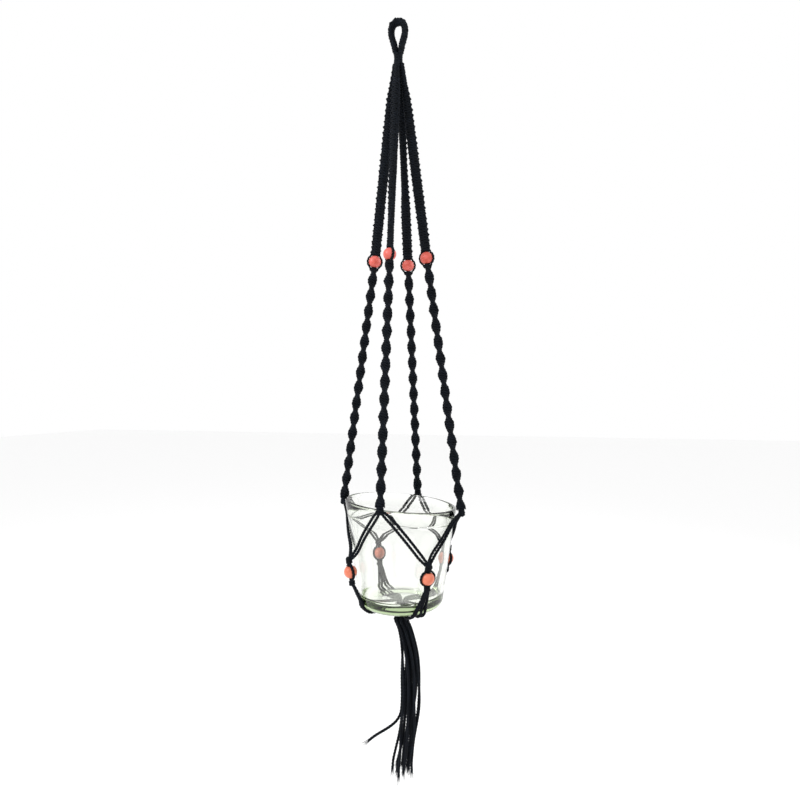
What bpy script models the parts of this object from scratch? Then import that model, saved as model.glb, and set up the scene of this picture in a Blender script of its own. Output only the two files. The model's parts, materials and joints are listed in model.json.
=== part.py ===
"""A hanging macrame planter: a knotted loop, four beaded arms, a corded cradle, a glass pot and a tassel.

Lengths are in metres, +Z is up, and the origin is the top of the loop's eye, where a hook bears.
The four arms stand on -Y (front), -X (left), +Y (back) and +X (right).
"""
import math

import bmesh
import bpy
from mathutils import Matrix, Vector, geometry

MM = 0.001
UP = Vector((0, 0, 1))

# The cord, and the space kept between neighbouring solids.
CORD = 2.6 * MM
GAP = 0.35 * MM

# The hanging loop: a teardrop of knotted cord, thicker over the top.
LOOP_LEG_RADIUS = 2.95 * MM
LOOP_TOP_RADIUS = 3.6 * MM
LOOP_HALF_WIDTH = 6.5 * MM
LOOP_WIDEST_Z = -6.5 * MM
LOOP_TURN_RADIUS = 3.25 * MM
LOOP_BOTTOM_Z = -27.5 * MM

# The throat: the wrapped waist where the loop meets the four arms.
THROAT_Z = -32.3 * MM
THROAT_RADIUS = 4.3 * MM

# The arms run straight from the throat to the pot's rim.
ARM_TOP_Z = -37.2 * MM
ARM_TOP_RADIUS = 3.65 * MM
ARM_FOOT_Z = -450.0 * MM
ARM_FOOT_RADIUS = 57.9 * MM
FLAT_WIDTH = 9.0 * MM
FLAT_THICKNESS = 6.0 * MM
SQUARE_KNOT = 7.3 * MM
SPIRAL_WIDTH = 8.4 * MM
SPIRAL_THICKNESS = 4.4 * MM

# Beads: turned balls with a straight hole. Two cords pass round each, and a core passes through it.
BEAD_RADIUS = 6.0 * MM
BORE_RADIUS = 2.1 * MM
CORE_RADIUS = 1.6 * MM
SIDE_CORD_RADIUS = 1.05 * MM
UPPER_BEAD_Z = -222.5 * MM
LOWER_BEAD_Z = -511.5 * MM
LOWER_BEAD_RADIUS_OUT = 51.6 * MM

# Knots.
KNOT_WIDTH = 7.6 * MM
KNOT_THICKNESS = 6.4 * MM
KNOT_HEIGHT = 8.0 * MM

# The pot: thick moulded glass with a heavy base, and a rim that isn't level.
RIM_Z = -452.0 * MM
RIM_RADIUS = 52.5 * MM
BASE_Z = -549.3 * MM
HEEL_Z = -540.0 * MM
HEEL_RADIUS = 40.0 * MM
BASE_FLAT_RADIUS = 31.0 * MM
WALL = 3.2 * MM
FLOOR = 9.8 * MM
RIM_SLANT = math.tan(math.radians(5.2))
RIM_HIGH_SIDE = Vector((-0.951, -0.309, 0))

# The tassel: sixteen strands under the gather.
GATHER_Z = -557.6 * MM
GATHER_RADIUS = 4.5 * MM
TASSEL_TOP_Z = -563.2 * MM
TASSEL_END_Z = -702.0 * MM
TASSEL_SIDE = Vector((0.951, 0.309, 0))
STRAND_PITCH = 2.95 * MM
STRANDS = 16
LOOSE_STRAND = 11

# Each arm's bearing about Z, how far its wide side has turned at the bead and where its spiral starts
# under the bead, all in degrees, the height of the spiral's half turn, how far the arm hangs in at its
# bead, and how low its foot hangs.
ARMS = {
    "front": {"bearing": -90, "turn": -43, "spiral": 15, "half_turn": 15.35 * MM, "slack": 0.0, "drop": 0.0},
    "left": {"bearing": 180, "turn": -62, "spiral": 190, "half_turn": 14.85 * MM, "slack": 3.2 * MM,
             "drop": 3.0 * MM},
    "back": {"bearing": 90, "turn": 18, "spiral": 100, "half_turn": 15.75 * MM, "slack": 0.0,
             "drop": 3.0 * MM},
    "right": {"bearing": 0, "turn": 85, "spiral": 180, "half_turn": 15.4 * MM, "slack": 1.1 * MM,
              "drop": 9.0 * MM},
}
# How far each flat sinnet's wide side has turned, in degrees, at shares of its length from the throat.
FLAT_TURNS = {
    "front": [(0, 0), (0.6, -25), (0.8, -47), (0.9, -70), (1, -43)],
    "left": [(0, 0), (0.25, -45), (0.5, -65), (1, -62)],
    "back": [(0, 0), (0.25, -25), (0.5, -42), (0.64, -30), (0.76, 10), (1, 18)],
    "right": [(0, 0), (0.2, 60), (0.4, 95), (0.8, 98), (1, 85)],
}
CORNERS = {"front_left": -135, "front_right": -45, "back_right": 45, "back_left": 135}

MATERIALS = {
    "cord": {"color": (0.012, 0.015, 0.022, 1), "roughness": 0.85},
    "bead": {"color": (0.78, 0.13, 0.09, 1), "roughness": 0.45},
    "glass": {"color": (0.75, 0.88, 0.74, 1), "roughness": 0.03},
}


def out_from_axis(degrees):
    """The level direction at a bearing about Z."""
    angle = math.radians(degrees)
    return Vector((math.cos(angle), math.sin(angle), 0))


def smooth_step(value):
    """0 below 0, 1 above 1, and a smooth rise between."""
    value = min(max(value, 0.0), 1.0)
    return value * value * (3 - 2 * value)


# Scene, materials and the basic solids


def clear_scene():
    for item in list(bpy.data.objects):
        bpy.data.objects.remove(item)


def new_collection(name):
    collection = bpy.data.collections.new(name)
    bpy.context.scene.collection.children.link(collection)
    return collection


def new_material(name, surface):
    """One Principled material for one sub-part."""
    material = bpy.data.materials.new(name)
    material.use_nodes = True
    material.diffuse_color = surface["color"]
    shader = material.node_tree.nodes["Principled BSDF"]
    shader.inputs["Base Color"].default_value = surface["color"]
    shader.inputs["Roughness"].default_value = surface["roughness"]
    shader.inputs["Metallic"].default_value = 0.0
    return material


def finish(item, kind):
    """Give a piece its own material, place it in the part's collection and shade it smooth."""
    item.data.materials.append(new_material(item.name, MATERIALS[kind]))
    PARTS.objects.link(item)
    if item.type == "MESH":
        item.data.shade_smooth()
        item.data.set_sharp_from_angle(angle=math.radians(50))
    return item


def mesh_object(name, bm):
    mesh = bpy.data.meshes.new(name)
    bmesh.ops.recalc_face_normals(bm, faces=bm.faces)
    bm.to_mesh(mesh)
    bm.free()
    return bpy.data.objects.new(name, mesh)


def set_origin(item, point):
    """Move the object's origin to a point on its joint axis, and leave its surface where it is."""
    item.data.transform(Matrix.Translation(-point))
    item.location = point


def tube(name, points, radius, closed=False, radii=None):
    """A cord: a curve through the points with a round section."""
    curve = bpy.data.curves.new(name, "CURVE")
    curve.dimensions = "3D"
    curve.bevel_depth = radius
    curve.bevel_resolution = 2
    curve.use_fill_caps = True
    spline = curve.splines.new("POLY")
    spline.points.add(len(points) - 1)
    spline.use_cyclic_u = closed
    for index, point in enumerate(points):
        spline.points[index].co = (*point, 1)
        spline.points[index].radius = radii[index] if radii else 1.0
    return bpy.data.objects.new(name, curve)


def as_mesh(item):
    """Turn a curve object into a welded mesh object of the same name."""
    scene_root = bpy.context.scene.collection
    scene_root.objects.link(item)
    evaluated = item.evaluated_get(bpy.context.evaluated_depsgraph_get())
    mesh = bpy.data.meshes.new_from_object(evaluated)
    bm = bmesh.new()
    bm.from_mesh(mesh)
    bmesh.ops.remove_doubles(bm, verts=bm.verts, dist=0.01 * MM)
    bmesh.ops.recalc_face_normals(bm, faces=bm.faces)
    bm.to_mesh(mesh)
    bm.free()
    name = item.name
    place = item.matrix_world.copy()
    bpy.data.objects.remove(item)
    result = bpy.data.objects.new(name, mesh)
    result.matrix_world = place
    return result


def join(item, pieces):
    """Join other solids to a piece, each with a Boolean that keeps the shapes exact."""
    for piece in pieces:
        piece.hide_render = True
        piece.display_type = "WIRE"
        CUTTERS.objects.link(piece)
        union = item.modifiers.new("Join " + piece.name, "BOOLEAN")
        union.operation = "UNION"
        union.solver = "EXACT"
        union.object = piece


def loft(name, rings):
    """A solid through a row of rings of equal point count, closed at both ends."""
    bm = bmesh.new()
    rows = [[bm.verts.new(point) for point in ring] for ring in rings]
    for row, following in zip(rows, rows[1:]):
        for index in range(len(row)):
            after = (index + 1) % len(row)
            bm.faces.new((row[index], row[after], following[after], following[index]))
    bm.faces.new(rows[0])
    bm.faces.new(rows[-1])
    return mesh_object(name, bm)


def oval(centre, wide, thin, count=8):
    """A ring of points: an oval whose half-axes are the vectors wide and thin."""
    ring = []
    for index in range(count):
        angle = 2 * math.pi * (index + 0.5) / count
        ring.append(centre + wide * math.cos(angle) + thin * math.sin(angle))
    return ring


def lump(name, centre, wide, thin, tall):
    """A knot: a ball stretched along three half-axes."""
    bm = bmesh.new()
    bmesh.ops.create_uvsphere(bm, u_segments=8, v_segments=5, radius=1.0)
    bmesh.ops.transform(bm, matrix=Matrix((wide, thin, tall)).transposed().to_4x4(), verts=bm.verts)
    bmesh.ops.translate(bm, vec=centre, verts=bm.verts)
    return mesh_object(name, bm)


def turned(name, profile, steps):
    """A solid of revolution about its own Z, from (radius, height) points down its outer side."""
    bm = bmesh.new()
    points = [bm.verts.new((radius, 0, height)) for radius, height in profile]
    for above, below in zip(points, points[1:]):
        bm.edges.new((above, below))
    if profile[0][0] > 0:
        bm.edges.new((points[-1], points[0]))
    mesh = bpy.data.meshes.new(name)
    bm.to_mesh(mesh)
    bm.free()
    item = bpy.data.objects.new(name, mesh)
    screw = item.modifiers.new("Turn", "SCREW")
    screw.axis = "Z"
    screw.steps = steps
    screw.render_steps = steps
    screw.use_merge_vertices = True
    screw.merge_threshold = 0.01 * MM
    return item


# The hanging loop and the throat


def loop_outline(count):
    """Points down one side of the teardrop, from the middle of its top to the middle of its turn."""
    top = LOOP_TOP_RADIUS
    turn_centre = LOOP_BOTTOM_Z + LOOP_LEG_RADIUS + LOOP_TURN_RADIUS
    points = []
    for index in range(count):
        angle = math.pi / 2 * index / count
        points.append((LOOP_HALF_WIDTH * math.sin(angle),
                       LOOP_WIDEST_Z + (top - LOOP_WIDEST_Z) * math.cos(angle)))
    leg = (LOOP_WIDEST_Z - turn_centre)
    for index in range(count):
        along = index / count
        narrowing = smooth_step(along)
        width = LOOP_HALF_WIDTH + (LOOP_TURN_RADIUS - LOOP_HALF_WIDTH) * narrowing
        points.append((width, LOOP_WIDEST_Z - leg * along))
    for index in range(count + 1):
        angle = math.pi / 2 * index / count
        points.append((LOOP_TURN_RADIUS * math.cos(angle),
                       turn_centre - LOOP_TURN_RADIUS * math.sin(angle)))
    return points


def make_loop():
    """The teardrop that goes over the hook: one closed ring of cord."""
    side = loop_outline(4)
    outline = side + [(-across, height) for across, height in reversed(side[1:-1])]
    points = [Vector((across, 0, height)) for across, height in outline]
    spare = LOOP_TOP_RADIUS / LOOP_LEG_RADIUS - 1
    radii = [1 + spare * smooth_step((point.z - LOOP_WIDEST_Z) / (LOOP_TOP_RADIUS - LOOP_WIDEST_Z))
             for point in points]
    finish(as_mesh(tube("hanging_loop", points, LOOP_LEG_RADIUS, closed=True, radii=radii)), "cord")


def barrel(radius, steps=6):
    """The outline of a round knot that can tip about its middle without touching its neighbours."""
    return [(radius * math.sin(math.pi * index / steps), radius * math.cos(math.pi * index / steps))
            for index in range(steps + 1)]


def make_throat():
    """The wrapped waist, round so that the arms can swing and turn under it."""
    throat = turned("throat_wrap", barrel(THROAT_RADIUS), 12)
    throat.location = (0, 0, THROAT_Z)
    finish(throat, "cord")


# The arms


def arm_point(arm, z):
    """The middle of an arm at a height. A slack arm hangs in a little at its bead."""
    slope = (ARM_FOOT_RADIUS - ARM_TOP_RADIUS) / (ARM_TOP_Z - ARM_FOOT_Z)
    bend = min((ARM_TOP_Z - z) / (ARM_TOP_Z - UPPER_BEAD_Z), (z - ARM_FOOT_Z) / (UPPER_BEAD_Z - ARM_FOOT_Z))
    radius = ARM_TOP_RADIUS + slope * (ARM_TOP_Z - z) - ARMS[arm]["slack"] * max(bend, 0)
    return out_from_axis(ARMS[arm]["bearing"]) * radius + UP * z


def arm_axis(arm):
    """The direction up an arm."""
    return (arm_point(arm, ARM_TOP_Z) - arm_point(arm, ARM_FOOT_Z)).normalized()


def arm_wide(arm, turn):
    """The level-ish direction of an arm's wide side: tangential at turn 0, radial at turn 90 degrees."""
    tangent = UP.cross(out_from_axis(ARMS[arm]["bearing"]))
    return Matrix.Rotation(math.radians(turn), 3, arm_axis(arm)) @ tangent


def flat_turn(arm, along):
    """How far a flat sinnet's wide side has turned at a share of its length."""
    places = FLAT_TURNS[arm]
    for (before, first), (after, last) in zip(places, places[1:]):
        if along <= after:
            return first + (last - first) * (along - before) / (after - before)
    return places[-1][1]


def make_flat_sinnet(arm):
    """A sinnet of square knots. It is drawn in at the throat, and its wide side turns on the way down."""
    top = arm_point(arm, ARM_TOP_Z)
    foot = arm_point(arm, UPPER_BEAD_Z) + arm_axis(arm) * (BEAD_RADIUS + 2 * SIDE_CORD_RADIUS + 2 * GAP)
    count = round((top - foot).length / SQUARE_KNOT * 0.75)
    drawn_in = CORD * 0.9
    rings = []
    for index in range(count + 1):
        along = index / count
        down = (top - foot).length * along
        grown = smooth_step(down / (6 * SQUARE_KNOT))
        bump = 1.0 if index % 2 else 0.9
        half_wide = drawn_in + (FLAT_WIDTH / 2 * bump - drawn_in) * grown
        half_thin = drawn_in + (FLAT_THICKNESS / 2 - drawn_in) * grown
        wide = arm_wide(arm, flat_turn(arm, along))
        rings.append(oval(top.lerp(foot, along), wide * half_wide, wide.cross(arm_axis(arm)) * half_thin))
    finish(loft(arm + "_flat_sinnet", rings), "cord")


def bead_frame(name, centre, axis, wide, above, below):
    """The two cords that pass round a bead: one closed ring in the plane of axis and wide."""
    half_width = BEAD_RADIUS + SIDE_CORD_RADIUS + GAP
    count = 14
    points = []
    for index in range(count):
        angle = 2 * math.pi * index / count
        height = above if math.cos(angle) > 0 else below
        points.append(centre + wide * half_width * math.sin(angle) + axis * height * math.cos(angle))
    return as_mesh(tube(name, points, SIDE_CORD_RADIUS, closed=True))


def make_spiral_sinnet(arm):
    """A sinnet of half knots, which winds round itself, with the cords round and through the bead."""
    axis = arm_axis(arm)
    bead = arm_point(arm, UPPER_BEAD_Z)
    above = BEAD_RADIUS + SIDE_CORD_RADIUS + GAP
    below = BEAD_RADIUS + 4.6 * MM
    top = bead - axis * (below - SIDE_CORD_RADIUS)
    foot = arm_point(arm, crotch_z(arm)) + axis * (KNOT_HEIGHT / 2 + GAP)
    length = (top - foot).length
    half_turn = ARMS[arm]["half_turn"]
    count = round(length / half_turn * 3)
    frame_side = arm_wide(arm, ARMS[arm]["turn"])
    first = arm_wide(arm, ARMS[arm]["spiral"])
    rings = []
    for index in range(count + 1):
        along = index / count
        turn = Matrix.Rotation(math.pi * length * along / half_turn, 3, axis)
        wide = turn @ first
        ease = 0.62 + 0.38 * smooth_step(along * length / half_turn * 2)
        rings.append(oval(top.lerp(foot, along), wide * (SPIRAL_WIDTH / 2 * ease),
                          wide.cross(axis) * (SPIRAL_THICKNESS / 2), 6))
    sinnet = loft(arm + "_spiral_sinnet", rings)
    frame = bead_frame(arm + "_upper_frame", bead, axis, frame_side, above, below)
    core = as_mesh(tube(arm + "_upper_core", [bead + axis * above, top - axis * CORD], CORE_RADIUS))
    join(sinnet, [frame, core])
    finish(sinnet, "cord")


def bead_profile():
    """A bead's section: down its outer side from one mouth of the hole to the other."""
    mouth = math.asin(BORE_RADIUS / BEAD_RADIUS)
    steps = 6
    return [(BEAD_RADIUS * math.sin(mouth + (math.pi - 2 * mouth) * index / steps),
             BEAD_RADIUS * math.cos(mouth + (math.pi - 2 * mouth) * index / steps))
            for index in range(steps + 1)]


def make_bead(name, centre, axis):
    bead = turned(name, bead_profile(), 12)
    bead.location = centre
    bead.rotation_euler = UP.rotation_difference(axis).to_euler()
    finish(bead, "bead")


def crotch_z(arm):
    """The height of the knot in which an arm ends and its cords part."""
    return ARM_FOOT_Z - ARMS[arm]["drop"]


def make_crotch_knot(arm):
    wide = arm_wide(arm, 0)
    axis = arm_axis(arm)
    finish(lump(arm + "_crotch_knot", arm_point(arm, crotch_z(arm)), wide * (KNOT_WIDTH / 2),
                wide.cross(axis) * (KNOT_THICKNESS / 2), axis * (KNOT_HEIGHT / 2)), "cord")


# The cradle


def rim_rise(direction, z):
    """How much higher than level the pot's wall stands here, because its rim slants."""
    share = smooth_step((z - HEEL_Z) / (RIM_Z - HEEL_Z))
    return RIM_SLANT * direction.dot(RIM_HIGH_SIDE) * RIM_RADIUS * share


def wall_radius(direction, z):
    """The outer radius of the pot in a direction at a height."""
    level = z - rim_rise(direction, z)
    if level > HEEL_Z:
        return HEEL_RADIUS + (RIM_RADIUS - HEEL_RADIUS) * min((level - HEEL_Z) / (RIM_Z - HEEL_Z), 1)
    share = min((HEEL_Z - level) / (HEEL_Z - BASE_Z), 1)
    return BASE_FLAT_RADIUS + (HEEL_RADIUS - BASE_FLAT_RADIUS) * math.sqrt(1 - share * share)


def corner_axis(corner):
    """The direction up a lower bead: along the pot's wall."""
    lean = math.atan2(RIM_RADIUS - HEEL_RADIUS, RIM_Z - HEEL_Z)
    return out_from_axis(CORNERS[corner]) * math.sin(lean) + UP * math.cos(lean)


def corner_point(corner, above_bead):
    """A point on a corner's line, at a distance above the middle of its bead."""
    bead = out_from_axis(CORNERS[corner]) * LOWER_BEAD_RADIUS_OUT + UP * LOWER_BEAD_Z
    return bead + corner_axis(corner) * above_bead


def junction_height():
    """How far a junction knot's middle lies above its bead's."""
    return BEAD_RADIUS + SIDE_CORD_RADIUS + KNOT_HEIGHT / 2


def make_diagonal(arm, corner):
    """Two cords side by side from an arm's foot to a corner, laid on the pot's wall as one closed ring."""
    start = arm_point(arm, crotch_z(arm))
    end = corner_point(corner, junction_height())
    first = ARMS[arm]["bearing"]
    swing = (CORNERS[corner] - first + 180) % 360 - 180
    count = 7
    middle = []
    for index in range(count):
        along = 0.125 + 0.75 * index / (count - 1)
        direction = out_from_axis(first + swing * along)
        z = start.z + (end.z - start.z) * along
        on_wall = wall_radius(direction, z) + CORD / 2 + GAP
        lift_at_start = (start.xy.length - on_wall) * max(1 - along / 0.35, 0) ** 2
        lift_at_end = (end.xy.length - on_wall) * max((along - 0.60) / 0.40, 0) ** 2
        middle.append(direction * (on_wall + lift_at_start + lift_at_end) + UP * z)
    ring_down, ring_up = [], []
    for index, point in enumerate(middle):
        before, after = middle[max(index - 1, 0)], middle[min(index + 1, count - 1)]
        across = (after - before).cross(Vector((point.x, point.y, 0))).normalized()
        half_gap = CORD / 2 + GAP + 0.3 * MM * math.sin(math.pi * index / (count - 1))
        ring_down.append(point + across * half_gap)
        ring_up.append(point - across * half_gap)
    up_turn = middle[0] + (middle[0] - middle[1]).normalized() * CORD * 0.55
    down_turn = middle[-1] + (middle[-1] - middle[-2]).normalized() * CORD * 0.55
    points = [up_turn] + ring_down + [down_turn] + ring_up[::-1]
    finish(as_mesh(tube(arm + "_to_" + corner + "_cords", points, CORD / 2, closed=True)), "cord")


def make_corner(corner):
    """A junction knot with the cords round and through its bead, the bead, and the knot below it."""
    axis = corner_axis(corner)
    across = UP.cross(out_from_axis(CORNERS[corner]))
    outward = across.cross(axis)
    reach = BEAD_RADIUS + SIDE_CORD_RADIUS + GAP
    half_sizes = (across * (KNOT_WIDTH / 2), outward * (KNOT_THICKNESS / 2), axis * (KNOT_HEIGHT / 2))
    knot = lump(corner + "_junction_knot", corner_point(corner, junction_height()), *half_sizes)
    frame = bead_frame(corner + "_lower_frame", corner_point(corner, 0), axis, across, reach, reach)
    ends = [corner_point(corner, junction_height()), corner_point(corner, -reach)]
    core = as_mesh(tube(corner + "_lower_core", ends, CORE_RADIUS))
    join(knot, [frame, core])
    finish(knot, "cord")
    make_bead(corner + "_lower_bead", corner_point(corner, 0), axis)
    below = -(reach + SIDE_CORD_RADIUS + GAP + KNOT_HEIGHT * 0.4)
    finish(lump(corner + "_lower_knot", corner_point(corner, below), half_sizes[0] * 0.9,
                half_sizes[1] * 0.9, half_sizes[2] * 0.8), "cord")


def base_route(corner):
    """Points (distance out, height) from a lower knot round the pot's heel and in under its base."""
    direction = out_from_axis(CORNERS[corner])
    clear = CORD / 2 + GAP
    knot = corner_point(corner, -(BEAD_RADIUS + 2 * SIDE_CORD_RADIUS + 2 * GAP + KNOT_HEIGHT * 0.8))
    start = Vector((knot.xy.length - 0.6 * MM, knot.z - CORD / 2))
    touch = Vector((wall_radius(direction, HEEL_Z) + clear, HEEL_Z))
    route = [start.lerp(touch, index / 3) for index in range(3)]
    heel = HEEL_RADIUS - BASE_FLAT_RADIUS
    depth = HEEL_Z - BASE_Z
    for index in range(5):
        angle = math.pi / 2 * index / 4
        route.append(Vector((BASE_FLAT_RADIUS + (heel + clear) * math.cos(angle),
                             HEEL_Z - (depth + clear) * math.sin(angle))))
    inner = 4.4 * MM
    for index in range(1, 4):
        route.append(Vector((BASE_FLAT_RADIUS + (inner - BASE_FLAT_RADIUS) * index / 3, BASE_Z - clear)))
    return route


def make_base_cords(corner):
    """Four cords side by side from a corner to the middle of the base, as one flat band."""
    direction = out_from_axis(CORNERS[corner])
    across = UP.cross(direction)
    route = base_route(corner)
    rings = []
    for index, point in enumerate(route):
        before, after = route[max(index - 1, 0)], route[min(index + 1, len(route) - 1)]
        run = (after - before).normalized()
        normal = direction * run.y - UP * run.x
        spread = math.sin(math.pi * min(index / (len(route) - 1), 1) ** 0.8)
        half_wide = 3.4 * MM + 3.2 * MM * spread 
        centre = direction * point.x + UP * point.y
        rings.append(oval(centre, across * half_wide, normal * (CORD / 2)))
    finish(loft(corner + "_base_cords", rings), "cord")


# The pot


def pot_profile():
    """The pot's section: from the middle of the floor out and up inside, over the lip, and down outside."""
    inner_floor = BASE_Z + FLOOR
    slope = (RIM_RADIUS - HEEL_RADIUS) / (RIM_Z - HEEL_Z)
    inner_heel = 5.0 * MM
    wall_at_floor = HEEL_RADIUS + slope * (inner_floor + inner_heel - HEEL_Z) - WALL
    points = [(0, inner_floor)]
    for index in range(4):
        angle = math.pi / 2 * index / 3
        points.append((wall_at_floor - inner_heel + inner_heel * math.sin(angle),
                       inner_floor + inner_heel - inner_heel * math.cos(angle)))
    lip = WALL / 2
    for index in range(4):
        angle = math.pi - math.pi * index / 3
        points.append((RIM_RADIUS - lip + lip * math.cos(angle), RIM_Z - lip + lip * math.sin(angle)))
    for index in range(5):
        angle = math.pi / 2 * index / 4
        points.append((BASE_FLAT_RADIUS + (HEEL_RADIUS - BASE_FLAT_RADIUS) * math.cos(angle),
                       HEEL_Z - (HEEL_Z - BASE_Z) * math.sin(angle)))
    points.append((0, BASE_Z))
    return points


def make_pot():
    """The glass pot, turned about Z, with its upper wall raised on one side so that the rim slants."""
    bm = bmesh.new()
    points = [bm.verts.new((radius, 0, z)) for radius, z in pot_profile()]
    edges = [bm.edges.new(pair) for pair in zip(points, points[1:])]
    bmesh.ops.spin(bm, geom=points + edges, cent=(0, 0, 0), axis=(0, 0, 1), angle=2 * math.pi,
                   steps=32, use_merge=True)
    bmesh.ops.remove_doubles(bm, verts=bm.verts, dist=0.01 * MM)
    for vert in bm.verts:
        direction = Vector((vert.co.x, vert.co.y, 0)) / RIM_RADIUS
        share = smooth_step((vert.co.z - HEEL_Z) / (RIM_Z - HEEL_Z))
        vert.co.z += RIM_SLANT * direction.dot(RIM_HIGH_SIDE) * RIM_RADIUS * share
    pot = mesh_object("glass_pot", bm)
    set_origin(pot, Vector((0, 0, BASE_Z)))
    finish(pot, "glass")


# The gather and the tassel


def make_gather():
    """The round knot under the base in which all the cords meet."""
    gather = turned("gather_knot", barrel(GATHER_RADIUS), 12)
    gather.location = (0, 0, GATHER_Z)
    finish(gather, "cord")


def strand_seat(index):
    """Where a strand leaves the gather: one in the middle, six round it and nine outside."""
    if index == 0:
        return Vector((0, 0, 0))
    if index < 7:
        return out_from_axis(60 * index) * STRAND_PITCH
    return out_from_axis(40 * (index - 7) + 6) * (STRAND_PITCH * 1.97)


def bundle_point(index, z):
    """A strand's place in the hanging tassel, which opens out, turns a little and sways to one side."""
    down = (TASSEL_TOP_Z - z) / (TASSEL_TOP_Z - TASSEL_END_Z)
    opened = 1 + 0.42 * smooth_step(down * 2.2)
    seat = Matrix.Rotation(math.radians(55) * down, 3, "Z") @ strand_seat(index)
    sway = 9.0 * MM * math.sin(math.pi * min(max(down, 0), 1) ** 0.75)
    loose = 0.42 * MM * smooth_step(down * 3)
    wave = Vector((math.sin(9 * down + 1.7 * index), math.cos(7 * down + 2.9 * index), 0)) * loose
    return TASSEL_SIDE * sway + seat * opened + wave + UP * z


def make_strand(index):
    end_z = TASSEL_END_Z + 7.0 * MM * math.sin(2.4 * index + 0.5)
    count = 19
    points = [bundle_point(index, TASSEL_TOP_Z + (end_z - TASSEL_TOP_Z) * step / (count - 1))
              for step in range(count)]
    name = "tassel_strand_" + str(index + 1).zfill(2)
    strand = tube(name, points, CORD / 2)
    finish(strand, "cord")


def make_loose_strand(index):
    """The strand that springs out of the tassel to one side and ends short."""
    leave_z = TASSEL_TOP_Z - 84.0 * MM
    count = 13
    points = [bundle_point(index, TASSEL_TOP_Z + (leave_z - TASSEL_TOP_Z) * step / (count - 1))
              for step in range(count)]
    heading = (points[-1] - points[-2]).normalized()
    end = TASSEL_SIDE * -31.0 * MM + UP * -678.0 * MM
    end += (points[-1] - TASSEL_SIDE * points[-1].dot(TASSEL_SIDE) - UP * points[-1].z)
    first_handle = points[-1] + heading * 17.0 * MM
    last_handle = end + TASSEL_SIDE * 13.0 * MM + UP * 11.0 * MM
    bend = geometry.interpolate_bezier(points[-1], first_handle, last_handle, end, 11)
    finish(tube("loose_strand", points + bend[1:], CORD / 2), "cord")


def main():
    make_loop()
    make_throat()
    for arm in ARMS:
        make_flat_sinnet(arm)
        make_bead(arm + "_upper_bead", arm_point(arm, UPPER_BEAD_Z), arm_axis(arm))
        make_spiral_sinnet(arm)
        make_crotch_knot(arm)
        for corner in CORNERS:
            if arm in corner.split("_"):
                make_diagonal(arm, corner)
    for corner in CORNERS:
        make_corner(corner)
        make_base_cords(corner)
    make_pot()
    make_gather()
    for index in range(STRANDS):
        if index == LOOSE_STRAND:
            make_loose_strand(index)
        else:
            make_strand(index)


clear_scene()
PARTS = new_collection("hanging_planter")
CUTTERS = new_collection("cutters")
main()
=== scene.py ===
import json
import math

import bmesh
import bpy
import numpy as np
from bpy.props import FloatProperty, IntProperty, PointerProperty, StringProperty
from mathutils import Matrix, Vector, geometry


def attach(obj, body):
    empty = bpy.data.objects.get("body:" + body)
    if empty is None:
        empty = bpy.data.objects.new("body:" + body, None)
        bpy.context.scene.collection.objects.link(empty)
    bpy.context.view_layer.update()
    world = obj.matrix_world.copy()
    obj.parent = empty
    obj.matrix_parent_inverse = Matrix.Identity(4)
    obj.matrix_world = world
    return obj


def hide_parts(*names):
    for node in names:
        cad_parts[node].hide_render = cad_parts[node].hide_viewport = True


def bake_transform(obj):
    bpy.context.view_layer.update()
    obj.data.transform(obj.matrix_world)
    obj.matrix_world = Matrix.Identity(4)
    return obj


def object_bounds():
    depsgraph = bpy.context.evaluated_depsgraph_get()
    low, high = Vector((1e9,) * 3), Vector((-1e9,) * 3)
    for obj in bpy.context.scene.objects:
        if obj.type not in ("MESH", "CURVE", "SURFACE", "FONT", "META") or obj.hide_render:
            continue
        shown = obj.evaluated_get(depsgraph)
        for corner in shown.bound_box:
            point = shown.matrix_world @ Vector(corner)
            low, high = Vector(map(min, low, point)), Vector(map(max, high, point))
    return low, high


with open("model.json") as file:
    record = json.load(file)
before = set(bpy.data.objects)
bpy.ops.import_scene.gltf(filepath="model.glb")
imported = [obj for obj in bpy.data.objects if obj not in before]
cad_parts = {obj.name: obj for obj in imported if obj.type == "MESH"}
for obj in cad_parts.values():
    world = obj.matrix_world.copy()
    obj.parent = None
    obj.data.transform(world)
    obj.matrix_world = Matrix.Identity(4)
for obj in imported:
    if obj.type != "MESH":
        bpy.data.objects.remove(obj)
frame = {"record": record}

bl_info = {
    "name": "Hanging macrame planter",
    "version": (1, 0, 0),
    "blender": (4, 5, 0),
    "location": "3D View > Sidebar > Planter",
    "description": "Builds a knotted cord planter with coral beads, a glass pot and a tassel",
    "category": "Add Mesh",
}

MM = 0.001
UP = Vector((0, 0, 1))
CAD_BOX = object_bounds()
JOINTS = {joint["name"]: joint for joint in frame["record"]["behaviour"]["joints"]}
GATHER = Vector(JOINTS["tassel_swing"]["pos_m"])

# The planter's layout, in metres, as the frame has it. The arms run straight from throat to rim.
CORD = 2.6 * MM
ARM_TOP_Z, ARM_TOP_RADIUS = -37.2 * MM, 3.65 * MM
ARM_FOOT_Z, ARM_FOOT_RADIUS = -450.0 * MM, 57.9 * MM
UPPER_BEAD_Z = -222.5 * MM
LOWER_BEAD_Z, LOWER_BEAD_RADIUS_OUT = -511.5 * MM, 51.6 * MM
BEAD_RADIUS = 6.0 * MM
KNOT_HEIGHT = 8.0 * MM
RIM_Z, RIM_RADIUS = -452.0 * MM, 52.5 * MM
HEEL_Z, HEEL_RADIUS = -540.0 * MM, 40.0 * MM
BASE_Z, FOOT_RADIUS = -549.3 * MM, 31.0 * MM
RIM_SLANT = math.tan(math.radians(5.2))
RIM_HIGH_SIDE = Vector((-0.951, -0.309, 0))
TASSEL_TOP_Z, TASSEL_END_Z = -563.2 * MM, -702.0 * MM
TASSEL_SIDE = Vector((0.951, 0.309, 0))
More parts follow.
